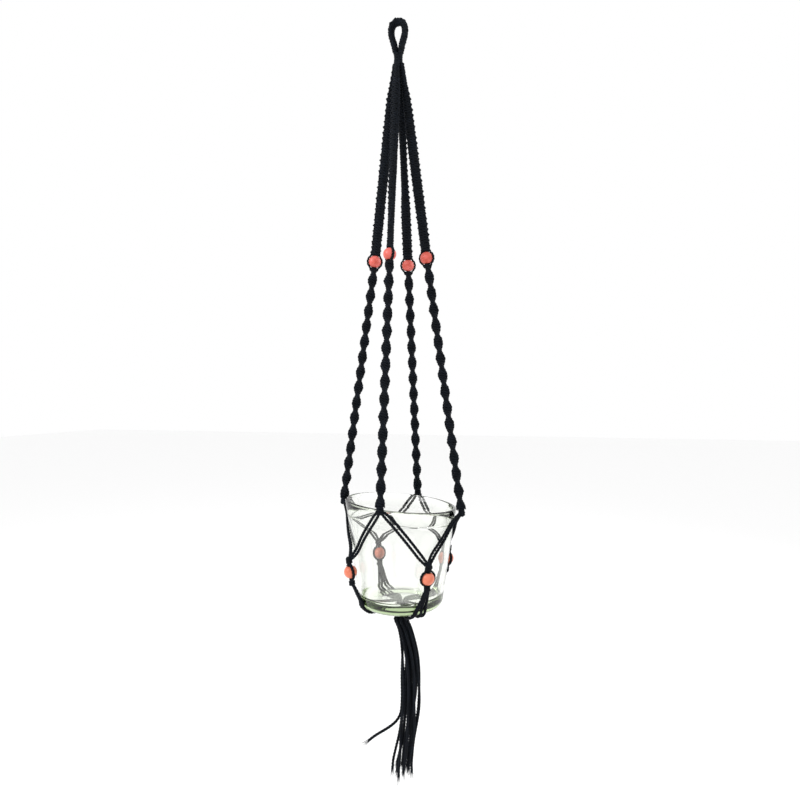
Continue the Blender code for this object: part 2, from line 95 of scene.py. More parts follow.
STRAND_PITCH = 2.95 * MM
STRANDS = 16
LOOSE_STRAND = 11

# How finely things are drawn: sides of a cord, facets round a bead, path points to a half knot, fibres.
CORD_SIDES = 12
BEAD_STEPS = 56
HALF_KNOT_POINTS = 24
FIBRES = 22
# How far down an arm the flat sinnet widens, and the cord's thickness where a spiral squeezes it.
DRAWN_IN_LENGTH = 36 * MM
SPIRAL_SQUEEZED = 1.55 * MM

# Each arm's bearing and how far its wide side has turned at its bead, in degrees, and how much lower
# than ARM_FOOT_Z it ends. Then how far an arm hangs in at its bead, and each corner's bearing.
ARMS = {"front": (-90, -43, 0), "left": (180, -62, 3 * MM),
        "back": (90, 18, 3 * MM), "right": (0, 85, 9 * MM)}
SLACK = {"front": 0, "left": 3.2 * MM, "back": 0, "right": 1.1 * MM}
CORNERS = {"front_left": -135, "front_right": -45, "back_right": 45, "back_left": 135}

# How far each flat sinnet's wide side has turned, in degrees, at shares of its length from the throat.
FLAT_TURNS = {
    "front": ((0, 0.6, 0.8, 0.9, 1), (0, -25, -47, -70, -45)),
    "left": ((0, 0.25, 0.5, 1), (0, -45, -65, -62)),
    "back": ((0, 0.25, 0.5, 0.64, 0.76, 1), (0, -25, -42, -30, 10, 18)),
    "right": ((0, 0.2, 0.4, 0.8, 1), (0, 60, 95, 98, 85)),
}
# Each spiral sinnet's turn in degrees at a distance under the middle of its bead, and its half turn's height.
SPIRALS = {"front": (18, 9.80 * MM, 15.35 * MM), "left": (108, 2.76 * MM, 14.85 * MM),
           "back": (18, 2.33 * MM, 15.75 * MM), "right": (108, 3.35 * MM, 15.40 * MM)}


# Settings that a user would change


def length_setting(name, description, default):
    """A length in metres."""
    return FloatProperty(name=name, description=description, default=default, subtype="DISTANCE")


def angle_setting(name, description, degrees):
    """An angle, kept in radians."""
    return FloatProperty(name=name, description=description, default=math.radians(degrees), subtype="ANGLE")


def number_setting(name, description, default):
    """A plain number."""
    return FloatProperty(name=name, description=description, default=default)


def color_setting(name, description, default):
    """A colour as sRGB hex."""
    return StringProperty(name=name, description=description + ", as sRGB hex", default=default)


class CordSettings(bpy.types.PropertyGroup):
    diameter: length_setting("Cord", "Thickness of the cord where it runs free", 2.6 * MM)
    squeezed: length_setting("Squeezed", "Thickness of the cord where a knot flattens it", 1.9 * MM)
    lay: length_setting("Lay", "Length of one full turn of the cord's three plies", 9.0 * MM)
    ply_depth: number_setting("Ply depth",
                              "How deep the grooves between the plies are, as a share of the radius", 0.2)
    step: length_setting("Step", "Length of cord between two rings of its mesh", 0.62 * MM)
    color: color_setting("Colour", "The dyed cotton's main colour", "#10151D")
    # The pale colour is partly fluff and partly a painted highlight on the plies' backs.
    pale: color_setting("Fluff and highlight colour", "The colour of fibres that stand proud", "#232B38")


class KnotSettings(bpy.types.PropertyGroup):
    square_knot: length_setting("Square knot", "Height of one square knot of a flat sinnet", 5.15 * MM)
    flat_width: length_setting("Flat width", "Width of a flat sinnet", 10.4 * MM)
    flat_thickness: length_setting("Flat thickness", "Thickness of a flat sinnet", 6.5 * MM)
    half_knot: length_setting("Half knot", "Height of one half knot of a spiral sinnet", 2.69 * MM)
    spiral_width: length_setting("Spiral width", "Widest measure of a spiral sinnet", 9.3 * MM)
    spiral_thickness: length_setting("Spiral thickness", "Thinnest measure of a spiral", 4.8 * MM)


class BeadSettings(bpy.types.PropertyGroup):
    diameter: length_setting("Bead", "Diameter of a bead", 12.0 * MM)
    bore: length_setting("Bore", "Diameter of the hole through a bead", 4.2 * MM)
    color: color_setting("Colour", "The upper beads' coral paint", "#DA685F")
    deep: color_setting("Deep colour", "The paint where it is thicker", "#C4503F")
    low_color: color_setting("Lower colour", "The lower beads' paint", "#DC7C60")
    low_deep: color_setting("Lower deep colour", "The lower beads' thicker paint", "#C66446")


class GlassSettings(bpy.types.PropertyGroup):
    wall: length_setting("Wall", "Thickness of the pot's wall", 3.0 * MM)
    floor: length_setting("Floor", "Thickness of the pot's base", 9.8 * MM)
    collar: length_setting("Collar", "Height of the thicker band under the rim", 13.0 * MM)
    slant: angle_setting("Rim slant", "How far the rim stands off level", 5.2)
    tint: color_setting("Tint", "What 70 mm of the glass lets through", "#BFD2A8")
    steps: IntProperty(name="Steps", description="Facets round the pot", default=96)


class StageSettings(bpy.types.PropertyGroup):
    bearing: angle_setting("View bearing", "Camera's bearing from the front arm", 18)
    distance: length_setting("Distance", "Camera's distance from the hanging line", 0.603)
    height: length_setting("Height", "Camera's height", -0.3477)
    lens: number_setting("Lens", "Focal length in millimetres on a 36 mm sensor", 28.575)
    shift: number_setting("Shift", "The camera's upward shift, as a share of the frame", -0.01)
    roll: number_setting("Roll", "How far the camera is turned about its view, in degrees", 0.3)
    key_power: number_setting("Key light", "Power of the main soft box in watts", 9.0)
    room: number_setting("Room light", "Strength of the white room", 1.0)
    clearance: length_setting("Floor clearance", "Height of the tassel over the floor", 0.10)


SETTINGS = {"planter_cord": CordSettings, "planter_knots": KnotSettings, "planter_beads": BeadSettings,
            "planter_glass": GlassSettings, "planter_stage": StageSettings}


# Materials


def linear(hex_color):
    """An sRGB hex colour as linear red, green, blue and alpha."""
    channels = [int(hex_color[index:index + 2], 16) / 255 for index in (1, 3, 5)]
    return [c / 12.92 if c <= 0.04045 else ((c + 0.055) / 1.055) ** 2.4 for c in channels] + [1.0]


def add_node(tree, kind, values=None, links=None, **settings):
    """Add a node with its settings, its sockets' values and the links into them."""
    node = tree.nodes.new(kind)
    for name, value in settings.items():
        setattr(node, name, value)
    for socket, value in (values or {}).items():
        node.inputs[socket].default_value = value
    for socket, source in (links or {}).items():
        tree.links.new(source, node.inputs[socket])
    return node


def made_of(name, build, *settings):
    """The material of that name. Its nodes are built the first time, and build returns its last ones."""
    material = bpy.data.materials.get(name)
    if material is None:
        material = bpy.data.materials.new(name)
        material.use_nodes = True
        tree = material.node_tree
        tree.nodes.clear()
        output = add_node(tree, "ShaderNodeOutputMaterial")
        for socket, node in build(tree, *settings).items():
            tree.links.new(node.outputs[0], output.inputs[socket])
    return material


def color_ramp(tree, source, stops):
    """A ramp between hex colours at the given places."""
    ramp = add_node(tree, "ShaderNodeValToRGB", links={"Fac": source})
    elements = ramp.color_ramp.elements
    while len(elements) < len(stops):
        elements.new(0.5)
    for element, (place, color) in zip(elements, stops):
        element.position = place
        element.color = linear(color)
    return ramp


def dyed_cotton(tree):
    """Black-navy dyed cotton cord: matt, with fine fibres along each ply, painted shade in the ply grooves
    and a faint pale bloom of fluff with a painted highlight on the plies' backs.
    """
    cord = bpy.context.scene.planter_cord
    # The strand attribute is in millimetres: x along the cord, y and z round it, turning with the plies.
    strand = add_node(tree, "ShaderNodeAttribute", attribute_name="strand")
    place = add_node(tree, "ShaderNodeTexCoord")
    # Fibres: 0.25 mm apart round the cord and about 3 mm long, which reads as a silky grain.
    stretched = add_node(tree, "ShaderNodeMapping", {"Scale": (0.33, 4.0, 4.0)},
                         {"Vector": strand.outputs["Vector"]})
    fibres = add_node(tree, "ShaderNodeTexNoise", {"Scale": 1.0, "Detail": 3.0, "Roughness": 0.6},
                      {"Vector": stretched.outputs["Vector"]})
    # Uneven dye: soft patches about 6 mm across.
    dye = add_node(tree, "ShaderNodeTexNoise", {"Scale": 160.0, "Detail": 2.0},
                   {"Vector": place.outputs["Object"]})
    # Ply grooves: the attribute's own height is 0 in a groove and 1 on a ply's back. It paints shade into the
    # grooves and, with the fibres, pale fluff and a highlight onto the plies' backs.
    crown = add_node(tree, "ShaderNodeAttribute", attribute_name="crown")
    ply_light_and_fluff = add_node(tree, "ShaderNodeMath", links={0: fibres.outputs["Fac"], 1: crown.outputs["Fac"]},
                    operation="MULTIPLY")
    mixed = add_node(tree, "ShaderNodeMath", {2: 0.0}, {0: ply_light_and_fluff.outputs[0], 1: dye.outputs["Fac"]},
                     operation="MULTIPLY_ADD")
    # The darkest stop is painted shade in the grooves. The pale stop is pale fluff and a painted highlight on
    # the plies' backs.
    colors = color_ramp(tree, mixed.outputs[0], [(0.04, "#06080B"), (0.22, cord.color), (0.62, cord.pale)])
    rough = add_node(tree, "ShaderNodeMapRange", {"To Min": 0.62, "To Max": 0.9},
                     {"Value": fibres.outputs["Fac"]})
    bump = add_node(tree, "ShaderNodeBump", {"Strength": 0.6, "Distance": 0.12 * MM},
                    {"Height": fibres.outputs["Fac"]})
    shader = add_node(tree, "ShaderNodeBsdfPrincipled",
                      {"Sheen Weight": 0.012, "Sheen Roughness": 0.5, "Specular IOR Level": 0.12},
                      {"Base Color": colors.outputs["Color"], "Roughness": rough.outputs["Result"],
                       "Normal": bump.outputs["Normal"]})
    shader.inputs["Sheen Tint"].default_value = linear("#7C8CA6")
    return {"Surface": shader}


def painted_wood(tree, color, deep):
    """Coral paint on turned wood: satin, with a little clouding where it lies thicker."""
    place = add_node(tree, "ShaderNodeTexCoord")
    # Clouding: patches about 7 mm across where the paint lies thicker.
    clouds = add_node(tree, "ShaderNodeTexNoise", {"Scale": 140.0, "Detail": 2.0, "Roughness": 0.5},
                      {"Vector": place.outputs["Object"]})
    # Grain telling through the paint: streaks 0.35 mm apart that run down the bead's hole.
    along = add_node(tree, "ShaderNodeMapping", {"Scale": (2800.0, 2800.0, 260.0)},
                     {"Vector": place.outputs["Object"]})
    grain = add_node(tree, "ShaderNodeTexNoise", {"Scale": 1.0, "Detail": 2.0},
                     {"Vector": along.outputs["Vector"]})
    colors = color_ramp(tree, clouds.outputs["Fac"], [(0.3, deep), (0.6, color)])
    rough = add_node(tree, "ShaderNodeMapRange", {"To Min": 0.32, "To Max": 0.48},
                     {"Value": grain.outputs["Fac"]})
    bump = add_node(tree, "ShaderNodeBump", {"Strength": 0.06, "Distance": 0.05 * MM},
                    {"Height": grain.outputs["Fac"]})
    shader = add_node(tree, "ShaderNodeBsdfPrincipled",
                      {"IOR": 1.36, "Coat Weight": 0.25, "Coat Roughness": 0.22},
                      {"Base Color": colors.outputs["Color"], "Roughness": rough.outputs["Result"],
                       "Normal": bump.outputs["Normal"]})
    return {"Surface": shader}


def pressed_glass(tree, tint):
    """Soda-lime glass, pressed in a mould: clear, softly waved, and green through its thick base."""
    place = add_node(tree, "ShaderNodeTexCoord")
    # Mould waves: slow swells about 20 mm long, which bend what is seen through the wall.
    waves = add_node(tree, "ShaderNodeTexNoise", {"Scale": 48.0, "Detail": 1.0},
                     {"Vector": place.outputs["Object"]})
    bump = add_node(tree, "ShaderNodeBump", {"Strength": 0.35, "Distance": 0.5 * MM},
                    {"Height": waves.outputs["Fac"]})
    rough = add_node(tree, "ShaderNodeMapRange", {"To Min": 0.0, "To Max": 0.04},
                     {"Value": waves.outputs["Fac"]})
    shader = add_node(tree, "ShaderNodeBsdfPrincipled",
                      {"Base Color": (1.0, 1.0, 1.0, 1.0), "IOR": 1.51, "Transmission Weight": 1.0},
                      {"Roughness": rough.outputs["Result"], "Normal": bump.outputs["Normal"]})
    # The tint is what a 70 mm path passes, so each channel's loss a metre is -ln(tint) / 0.07.
    losses = [-math.log(channel) / 0.07 for channel in linear(tint)[:3]]
    density = max(losses) * 1.02
    volume = add_node(tree, "ShaderNodeVolumeAbsorption", {"Density": density})
    volume.inputs["Color"].default_value = [1 - loss / density for loss in losses] + [1.0]
    return {"Surface": shader, "Volume": volume}


def studio_floor(tree):
    """Matt white painted board, with a faint roller texture."""
    place = add_node(tree, "ShaderNodeTexCoord")
    # Roller stipple: about 2 mm across, only just there.
    stipple = add_node(tree, "ShaderNodeTexNoise", {"Scale": 500.0, "Detail": 2.0},
                       {"Vector": place.outputs["Object"]})
    bump = add_node(tree, "ShaderNodeBump", {"Strength": 0.1, "Distance": 0.1 * MM},
                    {"Height": stipple.outputs["Fac"]})
    shader = add_node(tree, "ShaderNodeBsdfPrincipled", {"Roughness": 0.9},
                      {"Normal": bump.outputs["Normal"]})
    shader.inputs["Base Color"].default_value = linear("#FAFAFA")
    return {"Surface": shader}


# Shapes shared by the pieces


def smooth_step(value):
    """0 below 0, 1 above 1, and a smooth rise between, for a number or an array."""
    value = np.clip(value, 0.0, 1.0)
    return value * value * (3 - 2 * value)


def smooth_path(points, count):
    """A smooth path of count points through a few chosen ones."""
    points = [Vector(point) for point in points]
    ends = [points[0] * 2 - points[1]] + points + [points[-1] * 2 - points[-2]]
    path = []
    for share in np.linspace(0, len(points) - 1, count):
        index = min(int(share), len(points) - 2)
        t = share - index
        before, start, end, after = ends[index:index + 4]
        path.append(0.5 * ((2 * start) + (end - before) * t
                           + (2 * before - 5 * start + 4 * end - after) * t ** 2
                           + (3 * start - before - 3 * end + after) * t ** 3))
    return np.array(path)


def path_length(path):
    return float(np.linalg.norm(np.diff(path, axis=0), axis=1).sum())


def unit_rows(rows):
    return rows / np.maximum(np.linalg.norm(rows, axis=1), 1e-12)[:, None]


def carried_normals(tangents):
    """A normal at each point, carried along the path without twisting."""
    start = np.cross(tangents[0], (0.3, 0.9, 0.2))
    normals = [start / np.linalg.norm(start)]
    for tangent in tangents[1:]:
        normal = normals[-1] - tangent * np.dot(tangent, normals[-1])
        normals.append(normal / np.linalg.norm(normal))
    return np.array(normals)


def tube_faces(grid):
    """The four-sided faces between the rings of a tube, from its grid of point numbers."""
    before, after = grid[:-1], grid[1:]
    return np.stack([before, np.roll(before, -1, axis=1), np.roll(after, -1, axis=1), after],
                    axis=2).reshape(-1, 4).tolist()


def cord_run(path, normals=None, width=None, thickness=None, phase=0.0):
    """One length of three-ply cord along a path: its vertices, faces and two attributes, the fibre pattern
    and the ply height that places the painted shade and highlight.

    With normals, the cord is squeezed to the given thickness along them. Width and thickness may be one
    number or one for each point.
    """
    cord = bpy.context.scene.planter_cord
    path = np.asarray(path, float)
    width = cord.diameter if width is None else width
    thickness = width if thickness is None else thickness
    lengths = np.concatenate([[0], np.cumsum(np.linalg.norm(np.diff(path, axis=0), axis=1))])
    count = max(int(round(lengths[-1] / cord.step)), 6)
    at = np.linspace(0, lengths[-1], count + 1)

    def sampled(rows):
        rows = np.broadcast_to(rows, (len(lengths),) + np.shape(rows)[1:] if np.ndim(rows) else len(lengths))
        if rows.ndim == 1:
            return np.interp(at, lengths, rows)
        return np.column_stack([np.interp(at, lengths, rows[:, axis]) for axis in range(rows.shape[1])])

    width, thickness, line = sampled(width), sampled(thickness), sampled(path)
    tangents = unit_rows(np.gradient(line, axis=0))
    across = carried_normals(tangents) if normals is None else sampled(normals)
    across = unit_rows(across - tangents * (across * tangents).sum(axis=1)[:, None])
    beside = np.cross(tangents, across)
    angle = 2 * math.pi * np.arange(CORD_SIDES) / CORD_SIDES
    twist = 2 * math.pi * (at * (1 / cord.lay))[:, None] + phase
    ply = np.cos(3 * (angle[None, :] - twist))
    reach = 1 + cord.ply_depth * (ply - 0.4)
    points = (line[:, None, :]
              + across[:, None, :] * (reach * np.cos(angle) * thickness[:, None] / 2)[:, :, None]
              + beside[:, None, :] * (reach * np.sin(angle) * width[:, None] / 2)[:, :, None])
    strand = np.stack([np.broadcast_to(at[:, None] / MM, ply.shape),
                       np.cos(angle - twist) * cord.diameter / 2 / MM,
                       np.sin(angle - twist) * cord.diameter / 2 / MM], axis=2)
    # The ply height: 0 in a groove, 1 on a ply's back. The cord's painted shade and painted highlight follow
    # it.
    crown = (ply + 1) / 2
    grid = np.arange(len(at) * CORD_SIDES).reshape(-1, CORD_SIDES)
    faces = tube_faces(grid)
    # Each end is closed by a low cone.
    tips = [line[0] - tangents[0] * thickness[0] * 0.25, line[-1] + tangents[-1] * thickness[-1] * 0.25]
    points = np.vstack([points.reshape(-1, 3), tips])
    strand = np.vstack([strand.reshape(-1, 3), [(0, 0, 0), (at[-1] / MM, 0, 0)]])
    crown = np.concatenate([crown.reshape(-1), [0.5, 0.5]])
    for side in range(CORD_SIDES):
        following = (side + 1) % CORD_SIDES
        faces.append([int(grid[0, following]), int(grid[0, side]), grid.size])
        faces.append([int(grid[-1, side]), int(grid[-1, following]), grid.size + 1])
    return points, faces, strand, crown


def thread_run(path, width):
    """One fibre: a thin square thread along a path, drawn to a point."""
    path = np.asarray(path, float)
    tangents = unit_rows(np.gradient(path, axis=0))
    across = carried_normals(tangents)
    beside = np.cross(tangents, across)
    reach = (width / 2 * np.linspace(1, 0.35, len(path)))[:, None]
    points = np.stack([path + across * reach, path + beside * reach, path - across * reach,
                       path - beside * reach], axis=1)
    grid = np.arange(len(path) * 4).reshape(-1, 4)
    faces = tube_faces(grid) + [grid[0, ::-1].tolist(), grid[-1].tolist()]
    points = points.reshape(-1, 3)
    # A fibre's ply height is 0.9, which gives it mostly the pale colour: fluff with a painted highlight.
    return points, faces, points / MM, np.full(len(points), 0.9)


def cord_piece(name, runs, body, replaced=()):
    """A piece of one or more lengths of cord, which rides on a body and stands for CAD nodes."""
    points, faces, strand, crown = [], [], [], []
    offset = 0
    for run in runs:
        points.append(run[0])
        faces += [[index + offset for index in face] for face in run[1]]
        strand.append(run[2])
        crown.append(run[3])
        offset += len(run[0])
    mesh = bpy.data.meshes.new(name)
    mesh.from_pydata(np.vstack(points).tolist(), [], faces)
    mesh.attributes.new("strand", "FLOAT_VECTOR", "POINT").data.foreach_set(
        "vector", np.vstack(strand).astype(np.float32).ravel())
    mesh.attributes.new("crown", "FLOAT", "POINT").data.foreach_set(
        "value", np.concatenate(crown).astype(np.float32))
    mesh.shade_smooth()
    piece = bpy.data.objects.new(name, mesh)
    bpy.context.scene.collection.objects.link(piece)
    piece.data.materials.append(made_of("dyed_cotton_three_ply", dyed_cotton))
    if body:
        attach(piece, body)
    if replaced:
        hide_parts(*replaced)
    return piece


def spun(profile, steps, ring=False):
    """A profile spun about Z. A ring's profile is closed, and any other starts and ends on the axis."""
    bm = bmesh.new()
    points = [bm.verts.new((radius, 0, z)) for radius, z in profile]
    following = points[1:] + points[:1] if ring else points[1:]
    edges = [bm.edges.new(pair) for pair in zip(points, following)]
    bmesh.ops.spin(bm, geom=points + edges, cent=(0, 0, 0), axis=(0, 0, 1), angle=2 * math.pi,
                   steps=steps, use_merge=True)
    bmesh.ops.remove_doubles(bm, verts=bm.verts, dist=0.01 * MM)
    bmesh.ops.recalc_face_normals(bm, faces=bm.faces)
    return bm


def solid_piece(name, bm, material, body, node):
    """A piece made with bmesh, which rides on a body and stands for a CAD node."""
    mesh = bpy.data.meshes.new(name)
    bm.to_mesh(mesh)
    bm.free()
    mesh.shade_smooth()
    mesh.set_sharp_from_angle(angle=math.radians(55))
    piece = bpy.data.objects.new(name, mesh)
    bpy.context.scene.collection.objects.link(piece)
    piece.data.materials.append(material)
    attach(piece, body)
    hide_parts(node)
    return piece


# The planter's layout


def out_from_axis(degrees):
    """The level direction at a bearing about Z."""
    angle = math.radians(degrees)
    return Vector((math.cos(angle), math.sin(angle), 0))


def arm_point(arm, z):
    """The middle of an arm at a height. A slack arm hangs in a little at its bead."""
    slope = (ARM_FOOT_RADIUS - ARM_TOP_RADIUS) / (ARM_TOP_Z - ARM_FOOT_Z)
    bend = min((ARM_TOP_Z - z) / (ARM_TOP_Z - UPPER_BEAD_Z), (z - ARM_FOOT_Z) / (UPPER_BEAD_Z - ARM_FOOT_Z))
    radius = ARM_TOP_RADIUS + slope * (ARM_TOP_Z - z) - SLACK[arm] * max(bend, 0)
    return out_from_axis(ARMS[arm][0]) * radius + UP * z


def arm_axis(arm):
    """The direction up an arm."""
    return (arm_point(arm, ARM_TOP_Z) - arm_point(arm, ARM_FOOT_Z)).normalized()


def arm_wide(arm, turn):
    """The direction of an arm's wide side: tangential at turn 0, radial at turn 90 degrees."""
    tangent = UP.cross(out_from_axis(ARMS[arm][0]))
    return Matrix.Rotation(math.radians(turn), 3, arm_axis(arm)) @ tangent


def crotch(arm):
    """The middle of the knot in which an arm ends."""
    return arm_point(arm, ARM_FOOT_Z - ARMS[arm][2])


def wall_radius(direction, z):
    """The pot's outer radius in a direction at a height. Its upper wall is raised where the rim is high."""
    share = float(smooth_step((z - HEEL_Z) / (RIM_Z - HEEL_Z)))
    level = z - RIM_SLANT * direction.dot(RIM_HIGH_SIDE) * RIM_RADIUS * share
    if level > HEEL_Z:
        return HEEL_RADIUS + (RIM_RADIUS - HEEL_RADIUS) * min((level - HEEL_Z) / (RIM_Z - HEEL_Z), 1)
    share = min((HEEL_Z - level) / (HEEL_Z - BASE_Z), 1)
    return FOOT_RADIUS + (HEEL_RADIUS - FOOT_RADIUS) * math.sqrt(1 - share * share)


def corner_axis(corner):
    """The direction up a lower bead, which lies along the pot's wall."""
    lean = math.atan2(RIM_RADIUS - HEEL_RADIUS, RIM_Z - HEEL_Z)
    return out_from_axis(CORNERS[corner]) * math.sin(lean) + UP * math.cos(lean)


def corner_point(corner, above_bead):
    """A point on a corner's line, at a distance above the middle of its bead."""
    bead = out_from_axis(CORNERS[corner]) * LOWER_BEAD_RADIUS_OUT + UP * LOWER_BEAD_Z
    return bead + corner_axis(corner) * above_bead


JUNCTION = BEAD_RADIUS + 1.05 * MM + KNOT_HEIGHT / 2
LOWER_KNOT = -(BEAD_RADIUS + 2.8 * MM + KNOT_HEIGHT * 0.4)


def strand_seat(index):
    """Where a strand leaves the gather: one in the middle, six round it and nine outside."""
    if index == 0:
        return Vector((0, 0, 0))
    if index < 7:
        return out_from_axis(60 * index) * STRAND_PITCH
    return out_from_axis(40 * (index - 7) + 6) * (STRAND_PITCH * 1.97)


def bundle_point(index, z):
    """A strand's place in the hanging tassel, which opens out, turns a little and sways to one side."""
    down = (TASSEL_TOP_Z - z) / (TASSEL_TOP_Z - TASSEL_END_Z)
    opened = 1 + 0.46 * float(smooth_step(down * 2.2))
    seat = Matrix.Rotation(math.radians(55) * down, 3, "Z") @ strand_seat(index)
    sway = 9.0 * MM * math.sin(math.pi * min(max(down, 0), 1) ** 0.75)
    loose = (0.42 + 0.4 * down) * MM * float(smooth_step(down * 3))
    wave = Vector((math.sin(13 * down + 1.7 * index), math.cos(11 * down + 2.9 * index), 0)) * loose
    return TASSEL_SIDE * sway + seat * opened + wave + UP * z


def strand_route(index):
    """A strand's name and the points it hangs along."""
    if index == LOOSE_STRAND:
        count, low = 13, TASSEL_TOP_Z - 84.0 * MM
    else:
        count, low = 19, TASSEL_END_Z + 7.0 * MM * math.sin(2.4 * index + 0.5)
    points = [bundle_point(index, TASSEL_TOP_Z + (low - TASSEL_TOP_Z) * step / (count - 1))
              for step in range(count)]
    if index != LOOSE_STRAND:
        return "tassel_strand_" + str(index + 1).zfill(2), points
    last = points[-1]
    heading = (last - points[-2]).normalized()
    end = TASSEL_SIDE * -31.0 * MM + UP * -678.0 * MM
    end += last - TASSEL_SIDE * last.dot(TASSEL_SIDE) - UP * last.z
    bend = geometry.interpolate_bezier(last, last + heading * 17.0 * MM,
                                       end + TASSEL_SIDE * 13.0 * MM + UP * 11.0 * MM, end, 11)
    return "loose_strand", points + bend[1:]


# Knotting


def even(points, count):
    """The same path with its points at even steps."""
    points = np.asarray(points, float)
    lengths = np.concatenate([[0], np.cumsum(np.linalg.norm(np.diff(points, axis=0), axis=1))])
    at = np.linspace(0, lengths[-1], count)
    return np.column_stack([np.interp(at, lengths, points[:, axis]) for axis in range(3)])


def between(rows, shares):
    """Rows of an evenly spaced table at shares of its length."""
    places = np.linspace(0, 1, len(rows))
    if np.ndim(rows) == 1:
        return np.interp(shares, places, rows)
    return np.column_stack([np.interp(shares, places, rows[:, axis]) for axis in range(3)])


def knotted(line, wide, half_knots, half_wide, half_thin, squeezed=None, spiral=False, seed=0.0):
    """The cords of a row of half knots along a line, as cord runs.

    In a square-knot row one working cord always crosses in front of the core and the other behind it,
    and they change sides at each half knot. In a spiral row both cords go round the core, one after the
    other, and the wide direction turns. Sizes may be numbers or one for each point of the line.
    """
    cord = bpy.context.scene.planter_cord
    squeezed = squeezed or cord.squeezed
    line, wide = np.asarray(line, float), np.asarray(wide, float)
    rows = len(line)
    half_wide = np.broadcast_to(half_wide, rows)
    half_thin = np.broadcast_to(half_thin, rows)
    along = unit_rows(np.gradient(line, axis=0))
    t = np.linspace(0, half_knots, int(round(half_knots * HALF_KNOT_POINTS)) + 1)
    runs = []
    for side in (0, 1):
        turn = math.pi * (t + side)
        # Hand tying: each knot is a little wider, tighter or higher than the next.
        uneven = 1 + 0.035 * np.sin(1.9 * t + seed + side) + 0.025 * np.sin(3.7 * t + 2 * seed)
        crossing = np.sin(turn) ** 2
        across = np.cos(turn)
        drop = t + (0.45 if spiral else 0.78) * np.sin(2 * math.pi * t) / (2 * math.pi)
        if spiral:
            lift = -np.sin(turn)
        elif side == 0:
            across = across * 0.87
            lift = 0.05 + 0.95 * crossing
        else:
            lift = 0.5 * (1 - crossing) ** 2 - crossing
        at = np.clip(drop / half_knots, 0, 1)
        centre = between(line, at)
        side_way, down = unit_rows(between(wide, at)), unit_rows(between(along, at))
        thin = np.cross(down, side_way)
        reach_wide = (between(half_wide, at) - squeezed / 2) * uneven
        reach_thin = (between(half_thin, at) - squeezed / 2) * (2 - uneven)
        path = centre + side_way * (across * reach_wide)[:, None] + thin * (lift * reach_thin)[:, None]
        outward = side_way * (across / reach_wide)[:, None] + thin * (lift / reach_thin)[:, None]
        pitch = path_length(line) / half_knots
        runs.append(cord_run(path, unit_rows(outward), width=cord.diameter if spiral else pitch * 1.12,
                             thickness=squeezed, phase=1.3 * side + seed))
    # The two core cords lie side by side and fill the row from one working cord's turn to the other's.
    core_wide = np.maximum(half_wide * 2 - squeezed * (1.5 if spiral else 0.95), 1 * MM)
    core_thin = np.maximum(half_thin * 2 - squeezed * 2.1, 1 * MM)
    runs.append(cord_run(line, wide, width=core_thin, thickness=core_wide))
    return runs


def square_knot(middle, axis, wide, width, thickness, height, half_knots=3, seed=0.0):
    """A short square knot round its core, where a sinnet ends or cords meet."""
    shares = np.linspace(-1, 1, 17)
    line = [middle - axis * (height / 2 - CORD * 0.45) * share for share in shares]
    tucked = 1 - 0.16 * shares ** 4
    return knotted(line, [wide] * 17, half_knots, width / 2 * tucked, thickness / 2 * tucked, seed=seed)


def wrapped(line, normal, radius, turns):
    """A cord wound round a core that follows a line, as one run."""
    cord = bpy.context.scene.planter_cord
    line = even(line, int(turns * HALF_KNOT_POINTS))
    along = unit_rows(np.gradient(line, axis=0))
    across = np.broadcast_to(np.array(normal, float), line.shape)
    across = unit_rows(across - along * (across * along).sum(axis=1)[:, None])
    beside = np.cross(along, across)
    turn = 2 * math.pi * np.linspace(0, turns, len(line))
    outward = across * np.cos(turn)[:, None] + beside * np.sin(turn)[:, None]
    reach = between(np.array(radius), np.linspace(0, 1, len(line))) - cord.squeezed / 2
    pitch = path_length(line) / turns
    return cord_run(line + outward * reach[:, None], outward, width=pitch * 1.05, thickness=cord.squeezed)


def round_a_bead(middle, axis, across, above, below, spread_above, spread_below, hug=(34, 146)):
    """The two cords that pass round a bead, pressed flat against it, and the core through its hole.

    They lie on the bead between the two angles of hug, counted from the top of its hole.
    """
    thick, clear = 1.8 * MM, 0.0
    reach = BEAD_RADIUS + clear + thick / 2
    outward = across.cross(axis)
    runs = []
    for side in (-1, 1):
        arc = [(reach * math.sin(angle), reach * math.cos(angle))
               for angle in np.radians(np.linspace(hug[0], hug[1], 9))]
        flat = [(spread_above, above)] + arc + [(spread_below, -below)]
        path = even(smooth_path([middle + across * (side * x) + axis * z for x, z in flat], 60), 60)
        away = path - np.array(middle)
        normals = unit_rows(away - np.outer(away @ np.array(outward), outward))
        runs.append(cord_run(path, normals, width=2.75 * MM, thickness=thick, phase=side))
    runs.append(cord_run(even([middle + axis * above, middle - axis * below], 12), width=3.2 * MM))
    # Above and under the bead the cords are drawn together side by side, with no gap between them.
    for far, spread in ((above, spread_above), (-below, spread_below)):
        near = math.copysign(BEAD_RADIUS - 0.2 * MM, far)
        drawn = even([middle + axis * near, middle + axis * far], 6)
        runs.append(cord_run(drawn, [tuple(outward)] * 6,
                             width=np.linspace(spread * 2 + 1.0 * MM, spread * 2, 6),
                             thickness=2.2 * MM))
    return runs


# The planter's pieces, one operator for each group of like pieces


